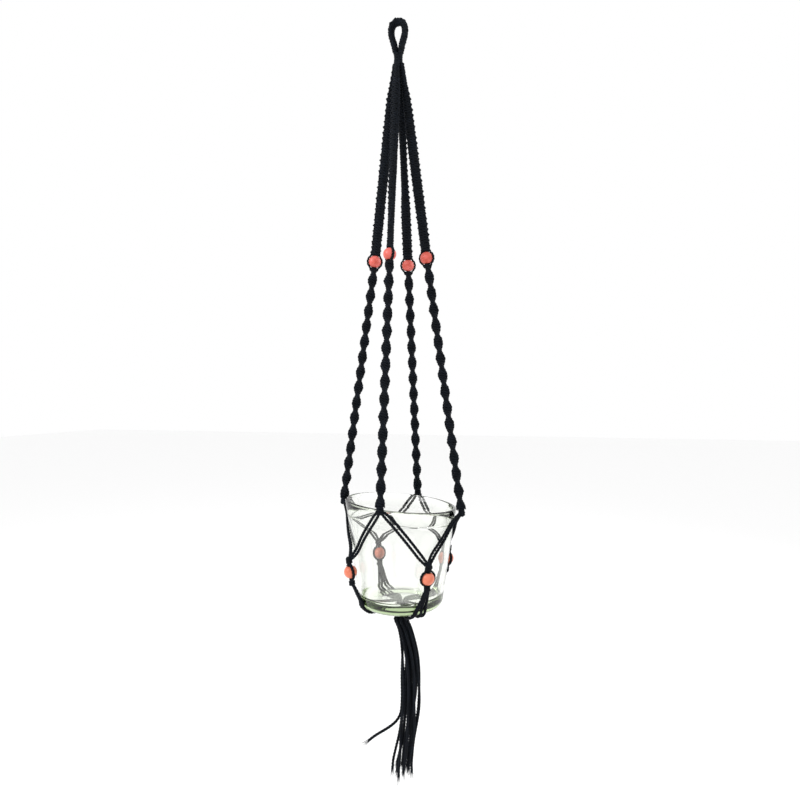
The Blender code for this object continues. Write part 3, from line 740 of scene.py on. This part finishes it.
class PLANTER_OT_stage(bpy.types.Operator):
    """Set up the camera, the white room with its soft lights, and the pale floor"""
    bl_idname = "planter.stage"
    bl_label = "Stage"

    def execute(self, context):
        scene = context.scene
        stage = scene.planter_stage
        view = bpy.data.cameras.new("view")
        view.lens = stage.lens
        view.sensor_width = 36.0
        view.clip_start = 0.01
        camera = bpy.data.objects.new("view", view)
        scene.collection.objects.link(camera)
        place = (Matrix.Rotation(stage.bearing, 4, "Z")
                 @ Matrix.Translation((0, -stage.distance, stage.height)))
        camera.matrix_world = (place @ Matrix.Rotation(math.radians(90), 4, "X")
                               @ Matrix.Rotation(math.radians(-stage.roll), 4, "Z"))
        view.shift_y = stage.shift
        scene.camera = camera
        # Two soft boxes: a key high on the left, and a weaker one behind on the right for the cords' edges.
        for name, place, power, size in (("key", (-0.75, -0.85, 0.35), stage.key_power, 0.7),
                                         ("edge", (0.95, 0.55, 0.1), stage.key_power * 0.45, 0.8)):
            light = bpy.data.lights.new(name, "AREA")
            light.shape = "SQUARE"
            light.size = size
            light.energy = power
            lamp = bpy.data.objects.new(name, light)
            scene.collection.objects.link(lamp)
            lamp.location = place
            lamp.rotation_euler = (Vector((0, 0, -0.35)) - lamp.location).to_track_quat("-Z", "Y").to_euler()
        world = bpy.data.worlds.new("white_room")
        world.use_nodes = True
        world.node_tree.nodes["Background"].inputs["Color"].default_value = (1.0, 1.0, 1.0, 1.0)
        world.node_tree.nodes["Background"].inputs["Strength"].default_value = stage.room
        scene.world = world
        scene.view_settings.view_transform = "Standard"
        bm = bmesh.new()
        bmesh.ops.create_grid(bm, x_segments=1, y_segments=1, size=6.0)
        bmesh.ops.translate(bm, verts=bm.verts, vec=(0, 0, CAD_BOX[0][2] - stage.clearance))
        mesh = bpy.data.meshes.new("floor")
        bm.to_mesh(mesh)
        bm.free()
        floor = bpy.data.objects.new("floor", mesh)
        scene.collection.objects.link(floor)
        floor.data.materials.append(made_of("matt_white_painted_board", studio_floor))
        return {"FINISHED"}


class PLANTER_OT_tassel(bpy.types.Operator):
    """Hang the sixteen strands of the tassel, with their frayed ends"""
    bl_idname = "planter.tassel"
    bl_label = "Tassel"

    def execute(self, context):
        ends = []
        for index in range(STRANDS):
            name, route = strand_route(index)
            into_knot = Vector((route[0].x * 0.85, route[0].y * 0.85, GATHER.z - 2.4 * MM))
            path = even(smooth_path([into_knot] + route, 160), 160)
            piece = cord_piece(name + "_cord", [cord_run(path, phase=index * 1.1)], "tassel", [name])
            ends += frayed_end(path[-1], path[-1] - path[-4], index)
        cord_piece("tassel_frayed_ends", ends, "tassel")
        return {"FINISHED"}


def frayed_end(tip, heading, index):
    """The loose fibres in which a strand ends, as thin runs that part and bend away from each other."""
    heading = heading / np.linalg.norm(heading)
    across = np.cross(heading, (0.4, 0.8, 0.1))
    across /= np.linalg.norm(across)
    beside = np.cross(heading, across)
    runs = []
    for fibre in range(FIBRES):
        turn = 2.4 * fibre + index
        out = math.sqrt((fibre + 0.5) / FIBRES)
        away = across * math.cos(turn) + beside * math.sin(turn)
        curl = across * math.sin(3.1 * fibre + index) + beside * math.cos(1.7 * fibre + 2 * index)
        length = (4.5 + 3.2 * math.sin(1.3 * fibre + 0.7 * index)) * MM
        points = [tip + away * (1.05 * MM * out) - heading * 1.4 * MM]
        for share in (0.35, 0.7, 1.0):
            points.append(tip + away * (out * (1.05 + 1.1 * share) * MM) + heading * (length * share)
                          + curl * (0.45 * MM * share * share))
        runs.append(thread_run(smooth_path(points, 7), 0.36 * MM))
    return runs


class PLANTER_OT_loop(bpy.types.Operator):
    """Knot the loop that goes over the hook"""
    bl_idname = "planter.loop"
    bl_label = "Hanging loop"

    def execute(self, context):
        knots = context.scene.planter_knots
        side = [(0.0, 3.6), (3.0, 2.9), (5.2, 0.9), (6.3, -2.4), (6.6, -6.5), (6.0, -10.4), (4.9, -14.0),
                (3.85, -17.6), (3.1, -21.3), (2.45, -25.0), (2.0, -29.3)]
        outline = [(-x, z) for x, z in side[::-1]] + side[1:]
        line = even(smooth_path([(x * 1.04 * MM, 0, z * MM) for x, z in outline], 200), 200)
        shares = np.abs(np.linspace(-1, 1, 200))
        drawn_in = smooth_step((1 - shares) / 0.22)
        half_wide = 3.3 * MM + (knots.flat_width / 2 - 3.3 * MM) * drawn_in
        half_thin = 2.1 * MM + 1.1 * MM * drawn_in + 0.5 * MM * smooth_step(1 - shares / 0.35)
        wide = np.tile((0.0, 1.0, 0.0), (200, 1))
        count = round(path_length(line) / (knots.square_knot / 2))
        runs = knotted(line, wide, count, half_wide, half_thin, seed=0.4)
        cord_piece("knotted_loop", runs, "loop", ["hanging_loop"])
        return {"FINISHED"}


class PLANTER_OT_throat(bpy.types.Operator):
    """Wrap the throat, and run the arms' cords down out of it"""
    bl_idname = "planter.throat"
    bl_label = "Throat"

    def execute(self, context):
        top, foot = Vector((0, 0, -27.9 * MM)), Vector((0, 0, -36.4 * MM))
        radius = [3.9 * MM, 4.3 * MM, 4.2 * MM, 4.2 * MM, 4.35 * MM, 4.2 * MM]
        wrap = wrapped([top, foot], (0.3, -1.0, 0), radius, 3.3)
        cord_piece("throat_wrapping", [wrap], "throat", ["throat_wrap"])
        runs = []
        for arm, (bearing, _, _) in ARMS.items():
            for side in (-1, 1):
                start = out_from_axis(bearing + 24 * side) * 2.5 * MM
                tangent = UP.cross(out_from_axis(bearing))
                end = arm_point(arm, ARM_TOP_Z - 3 * MM) + tangent * (side * 1.2 * MM)
                path = smooth_path([start + UP * (-29.6 * MM), start * 1.05 + UP * (-33.5 * MM), end], 14)
                runs.append(cord_run(path, phase=side + bearing))
        bundle = cord_piece("throat_bundle", runs, None)
        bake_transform(bundle)
        return {"FINISHED"}


class PLANTER_OT_arms(bpy.types.Operator):
    """Knot the four arms: square knots down to the bead, then half knots that wind round to the rim"""
    bl_idname = "planter.arms"
    bl_label = "Arms"

    def execute(self, context):
        knots = context.scene.planter_knots
        for number, (arm, (_, turned, _)) in enumerate(ARMS.items()):
            axis = arm_axis(arm)
            bead = joint_line(arm + "_upper_bead")[0]
            # The flat sinnet is drawn in at the throat, and its wide side turns on the way down.
            top, foot = arm_point(arm, ARM_TOP_Z + 0.8 * MM), bead + axis * (BEAD_RADIUS + 0.1 * MM)
            length = (top - foot).length
            shares = np.linspace(0, 1, 160)
            grown = smooth_step(shares * length / DRAWN_IN_LENGTH)
            wide = [arm_wide(arm, float(turn)) for turn in np.interp(shares, *FLAT_TURNS[arm])]
            line = [top.lerp(foot, float(share)) for share in shares]
            runs = knotted(line, wide, round(length / (knots.square_knot / 2)),
                           2.5 * MM + (knots.flat_width / 2 - 2.5 * MM) * grown,
                           2.4 * MM + (knots.flat_thickness / 2 - 2.4 * MM) * grown, seed=1.7 * number)
            cord_piece(arm + "_flat_sinnet_knots", runs, "net", [arm + "_flat_sinnet"])
            # The spiral sinnet starts under the bead. Its cords pass round and through the bead.
            across = arm_wide(arm, turned)
            begin = BEAD_RADIUS + 0.7 * MM
            top, foot = bead - axis * begin, crotch(arm) + axis * (KNOT_HEIGHT / 2 - 0.6 * MM)
            length = (top - foot).length
            line = [top.lerp(foot, float(share)) for share in shares]
            face, lobe, half_turn = SPIRALS[arm]
            wide = [arm_wide(arm, face + 180 * (begin + length * float(share) - lobe) / half_turn)
                    for share in shares]
            ease = 0.88 + 0.12 * smooth_step(shares * length / half_turn * 2)
            # The first knot, drawn tight under the bead, is nearly round.
            first_knot = 1.1 * MM * (1 - smooth_step(shares * length / (5 * MM)))
            runs = knotted(line, wide, round(length / knots.half_knot), knots.spiral_width / 2 * ease,
                           knots.spiral_thickness / 2 + first_knot, squeezed=SPIRAL_SQUEEZED, spiral=True,
                           seed=0.9 * number)
            runs += round_a_bead(bead, axis, across, 7.0 * MM, 8.6 * MM, 3.9 * MM, 3.0 * MM, (42, 142))
            cord_piece(arm + "_spiral_sinnet_knots", runs, "net", [arm + "_spiral_sinnet"])
            runs = square_knot(crotch(arm), axis, arm_wide(arm, 0), 7.8 * MM, 6.6 * MM,
                               KNOT_HEIGHT + 0.6 * MM,
                               seed=number)
            cord_piece(arm + "_crotch_knot_cords", runs, "net", [arm + "_crotch_knot"])
        return {"FINISHED"}


def joint_line(bead):
    """A bead's middle and the direction up its hole, from its joint."""
    joint = JOINTS[bead + "_spin"]
    return Vector(joint["pos_m"]), Vector(joint["axis"]).normalized()


def diagonal(arm, corner, side):
    """One of the two cords from an arm's foot to a corner, laid on the pot's wall."""
    start, end = crotch(arm), corner_point(corner, JUNCTION)
    first = ARMS[arm][0]
    swing = (CORNERS[corner] - first + 180) % 360 - 180
    clear = CORD / 2 + 0.1 * MM
    middle = []
    for along in np.linspace(0, 1, 25):
        direction = out_from_axis(first + swing * along)
        z = start.z + (end.z - start.z) * along
        on_wall = wall_radius(direction, z) + clear
        lift = (start.xy.length - on_wall) * max(1 - along / 0.3, 0) ** 2
        lift += (end.xy.length - on_wall) * max((along - 0.68) / 0.32, 0) ** 2
        middle.append(direction * (on_wall + lift) + UP * z)
    path = []
    for index, point in enumerate(middle):
        along = index / (len(middle) - 1)
        before, after = middle[max(index - 1, 0)], middle[min(index + 1, len(middle) - 1)]
        across = (after - before).cross(Vector((point.x, point.y, 0))).normalized()
        parted = 0.9 * MM + 0.95 * MM * min(math.sin(math.pi * along) * 2.2, 1)
        path.append(point + across * (side * parted))
    return path


def base_path(corner, place):
    """One of a corner's four cords, from the lower knot round the heel and in under the base."""
    direction = out_from_axis(CORNERS[corner])
    across = UP.cross(direction)
    clear = CORD / 2 + 0.12 * MM
    knot = corner_point(corner, LOWER_KNOT + 1.2 * MM)
    start = Vector((knot.xy.length, knot.z))
    touch = Vector((wall_radius(direction, HEEL_Z) + clear, HEEL_Z))
    route = [start, start.lerp(touch, 0.3) + Vector((-0.2 * MM, 0)), start.lerp(touch, 0.65)]
    for angle in np.radians((0, 22, 45, 68, 90)):
        route.append(Vector((FOOT_RADIUS + (HEEL_RADIUS - FOOT_RADIUS + clear) * math.cos(angle),
                             HEEL_Z - (HEEL_Z - BASE_Z + clear) * math.sin(angle))))
    for radius in (23.0, 15.0, 9.0):
        route.append(Vector((radius * MM, BASE_Z - clear)))
    route += [Vector((4.6 * MM, BASE_Z - 2.2 * MM)), Vector((2.6 * MM, BASE_Z - 5.6 * MM))]
    # How far this cord stands to the side on the way: near the knot, at the heel and under the base.
    offsets = BASE_SPREAD[corner][place]
    shares = (0, 0.16, 0.34, 0.55, 0.8, 1)
    path = []
    for index, point in enumerate(route):
        along = index / (len(route) - 1)
        aside = np.interp(along, shares, offsets) * MM
        path.append(direction * point.x + UP * point.y + across * aside)
    return smooth_path(path, 90)


# Each base cord's distance to the side, in mm, at six places from its lower knot to the gather.
BASE_SPREAD = {
    "front_left": [(-1.2, -2.2, -3.4, -4.2, -3.4, -0.8), (-0.6, -0.8, -1.0, -1.6, -1.2, -0.4),
                   (0.6, 0.9, 1.5, 1.0, 1.0, 0.4), (1.2, 2.6, 4.0, 3.6, 3.2, 0.8)],
    "front_right": [(-1.2, -3.4, -7.6, -11.2, -7.0, -0.8), (-0.6, -1.8, -5.8, -9.2, -4.8, -0.4),
                    (0.8, -0.2, -0.6, -0.6, 0.2, 0.4), (1.6, 3.0, 3.2, 3.0, 2.8, 0.8)],
    "back_right": [(-1.2, -2.8, -4.6, -5.2, -3.6, -0.8), (-0.6, -0.9, -1.6, -1.8, -1.2, -0.4),
                   (0.6, 0.9, 1.4, 1.2, 1.2, 0.4), (1.2, 2.8, 4.4, 4.8, 3.6, 0.8)],
    "back_left": [(-1.2, -3.4, -5.4, -6.8, -4.2, -0.8), (-0.6, -0.9, -1.9, -3.0, -1.5, -0.4),
                  (0.6, 1.0, 2.2, 2.6, 1.6, 0.4), (1.2, 3.6, 5.6, 6.2, 4.2, 0.8)],
}


class PLANTER_OT_cradle(bpy.types.Operator):
    """Net the cradle: the paired cords round the pot, the corner knots and the cords under the base"""
    bl_idname = "planter.cradle"
    bl_label = "Cradle"

    def execute(self, context):
        for number, corner in enumerate(CORNERS):
            for arm in ARMS:
                if arm in corner.split("_"):
                    runs = [cord_run(even(smooth_path(diagonal(arm, corner, side), 110), 110),
                                     phase=side + number)
                            for side in (-1, 1)]
                    name = arm + "_to_" + corner + "_cords"
                    cord_piece(name + "_pair", runs, "net", [name])
            bead, axis = joint_line(corner + "_lower_bead")
            across = UP.cross(out_from_axis(CORNERS[corner]))
            runs = square_knot(corner_point(corner, JUNCTION - 0.8 * MM), axis, across, 7.6 * MM, 6.4 * MM,
                               KNOT_HEIGHT - 0.6 * MM, half_knots=2, seed=number)
            runs += round_a_bead(bead, axis, across, 9.0 * MM, 9.0 * MM, 1.5 * MM, 1.5 * MM, (26, 154))
            cord_piece(corner + "_junction_knot_cords", runs, "net", [corner + "_junction_knot"])
            runs = square_knot(corner_point(corner, LOWER_KNOT + 1.6 * MM), axis, across, 7.2 * MM, 6.2 * MM,
                               KNOT_HEIGHT * 0.8, half_knots=2, seed=number + 2)
            cord_piece(corner + "_lower_knot_cords", runs, "net", [corner + "_lower_knot"])
            runs = [cord_run(even(base_path(corner, place), 110), phase=place * 1.4) for place in range(4)]
            cord_piece(corner + "_base_cords_four", runs, "net", [corner + "_base_cords"])
        return {"FINISHED"}


class PLANTER_OT_gather(bpy.types.Operator):
    """Wrap the gather, the round knot under the base in which all the cords meet"""
    bl_idname = "planter.gather"
    bl_label = "Gather"

    def execute(self, context):
        top, foot = GATHER + UP * (4.2 * MM), GATHER - UP * (4.4 * MM)
        radius = [2.9 * MM, 4.2 * MM, 4.5 * MM, 4.5 * MM, 4.4 * MM, 3.8 * MM]
        runs = [wrapped([top, foot], (1.0, 0.2, 0), radius, 3.4)]
        runs.append(cord_run(even([top - UP * (0.6 * MM), foot + UP * (0.6 * MM)], 10), width=6.4 * MM))
        cord_piece("gather_knot_wrapping", runs, "gather", ["gather_knot"])
        return {"FINISHED"}


class PLANTER_OT_beads(bpy.types.Operator):
    """Turn the eight painted beads, each with a straight hole with eased mouths"""
    bl_idname = "planter.beads"
    bl_label = "Beads"

    def execute(self, context):
        bead = context.scene.planter_beads
        radius, bore = bead.diameter / 2, bead.bore / 2
        mouth = math.asin((bore + 0.35 * MM) / radius)
        angles = np.linspace(mouth, math.pi - mouth, 21)
        profile = [(radius * math.sin(angle), radius * math.cos(angle)) for angle in angles]
        low = profile[-1][1]
        profile += [(bore + 0.1 * MM, low + 0.12 * MM), (bore, low + 0.5 * MM), (bore, -low - 0.5 * MM),
                    (bore + 0.1 * MM, -low - 0.12 * MM)]
        names = [arm + "_upper_bead" for arm in ARMS] + [corner + "_lower_bead" for corner in CORNERS]
        for number, name in enumerate(names):
            middle, axis = joint_line(name)
            bm = spun(profile, BEAD_STEPS, ring=True)
            # Hand turning: no bead is quite the same height.
            bmesh.ops.scale(bm, verts=bm.verts, vec=(1, 1, 0.985 + 0.012 * math.sin(2.3 * number)))
            place = Matrix.Translation(middle) @ UP.rotation_difference(axis).to_matrix().to_4x4()
            bmesh.ops.transform(bm, matrix=place, verts=bm.verts)
            if "lower" in name:
                material = made_of("orange_coral_painted_wood", painted_wood, bead.low_color, bead.low_deep)
            else:
                material = made_of("coral_painted_wood", painted_wood, bead.color, bead.deep)
            solid_piece(name + "_painted", bm, material, name, name)
        return {"FINISHED"}


class PLANTER_OT_pot(bpy.types.Operator):
    """Press the glass pot: a heavy base, a round heel, a thicker collar and a rim that isn't level"""
    bl_idname = "planter.pot"
    bl_label = "Glass pot"

    def execute(self, context):
        glass = context.scene.planter_glass
        inner_floor = BASE_Z + glass.floor
        slope = (RIM_RADIUS - HEEL_RADIUS) / (RIM_Z - HEEL_Z)

        def inside(z, wall):
            return HEEL_RADIUS + slope * (z - HEEL_Z) - wall

        bend = 6.0 * MM
        profile = [(0, inner_floor), (8 * MM, inner_floor), (18 * MM, inner_floor), (26 * MM, inner_floor)]
        corner = inside(inner_floor + bend, glass.wall) - bend
        for angle in np.radians(np.linspace(0, 90, 9)):
            profile.append((corner + bend * math.sin(angle), inner_floor + bend - bend * math.cos(angle)))
        low, high = inner_floor + bend, RIM_Z - glass.collar
        for share in (0.1, 0.35, 0.65, 0.9, 1.0):
            z = low + (high - 1.5 * MM - low) * share
            profile.append((inside(z, glass.wall), z))
        for drop, wall in ((1.2, 0.15), (0.8, 0.55), (0.3, 0.9), (-0.5, 1.1), (-3.0, 1.2), (-6.0, 1.05),
                           (-9.0, 0.6), (-10.8, 0.2)):
            z = high - drop * MM
            profile.append((inside(z, glass.wall + wall * MM), z))
        lip = 1.5 * MM
        for angle in np.radians(np.linspace(180, 0, 9)):
            profile.append((RIM_RADIUS - lip + lip * math.cos(angle), RIM_Z - lip + lip * math.sin(angle)))
        for share in (0.1, 0.3, 0.5, 0.7, 0.9):
            z = RIM_Z - lip + (HEEL_Z - RIM_Z + lip) * share
            profile.append((inside(z, 0.0), z))
        for angle in np.radians(np.linspace(0, 90, 9)):
            profile.append((FOOT_RADIUS + (HEEL_RADIUS - FOOT_RADIUS) * math.cos(angle),
                            HEEL_Z - (HEEL_Z - BASE_Z) * math.sin(angle)))
        profile += [(24 * MM, BASE_Z), (20 * MM, BASE_Z + 0.6 * MM), (10 * MM, BASE_Z + 0.9 * MM),
                    (0, BASE_Z + 0.9 * MM)]
        bm = spun(profile, glass.steps)
        for vert in bm.verts:
            direction = Vector((vert.co.x, vert.co.y, 0)) / RIM_RADIUS
            share = float(smooth_step((vert.co.z - HEEL_Z) / (RIM_Z - HEEL_Z)))
            vert.co.z += math.tan(glass.slant) * direction.dot(RIM_HIGH_SIDE) * RIM_RADIUS * share
        material = made_of("pressed_soda_lime_glass", pressed_glass, glass.tint)
        solid_piece("pressed_glass_pot", bm, material, "pot", "glass_pot")
        return {"FINISHED"}


class PLANTER_PT_planter(bpy.types.Panel):
    """The planter's settings and operators"""
    bl_idname = "PLANTER_PT_planter"
    bl_label = "Hanging planter"
    bl_space_type = "VIEW_3D"
    bl_region_type = "UI"
    bl_category = "Planter"

    def draw(self, context):
        for operator in OPERATORS:
            self.layout.operator(operator.bl_idname)
        for name in SETTINGS:
            box = self.layout.box()
            group = getattr(context.scene, name)
            for prop in group.bl_rna.properties:
                if prop.identifier not in ("rna_type", "name"):
                    box.prop(group, prop.identifier)


OPERATORS = (PLANTER_OT_stage, PLANTER_OT_tassel, PLANTER_OT_loop, PLANTER_OT_throat, PLANTER_OT_arms,
             PLANTER_OT_cradle, PLANTER_OT_gather, PLANTER_OT_beads, PLANTER_OT_pot)
CLASSES = tuple(SETTINGS.values()) + OPERATORS + (PLANTER_PT_planter,)


def register():
    for cls in CLASSES:
        bpy.utils.register_class(cls)
    for name, group in SETTINGS.items():
        setattr(bpy.types.Scene, name, PointerProperty(type=group))


def unregister():
    for name in SETTINGS:
        delattr(bpy.types.Scene, name)
    for cls in reversed(CLASSES):
        bpy.utils.unregister_class(cls)


def main():
    register()
    for operator in OPERATORS:
        getattr(bpy.ops.planter, operator.bl_idname.split(".")[1])()


if __name__ == "__main__":
    main()
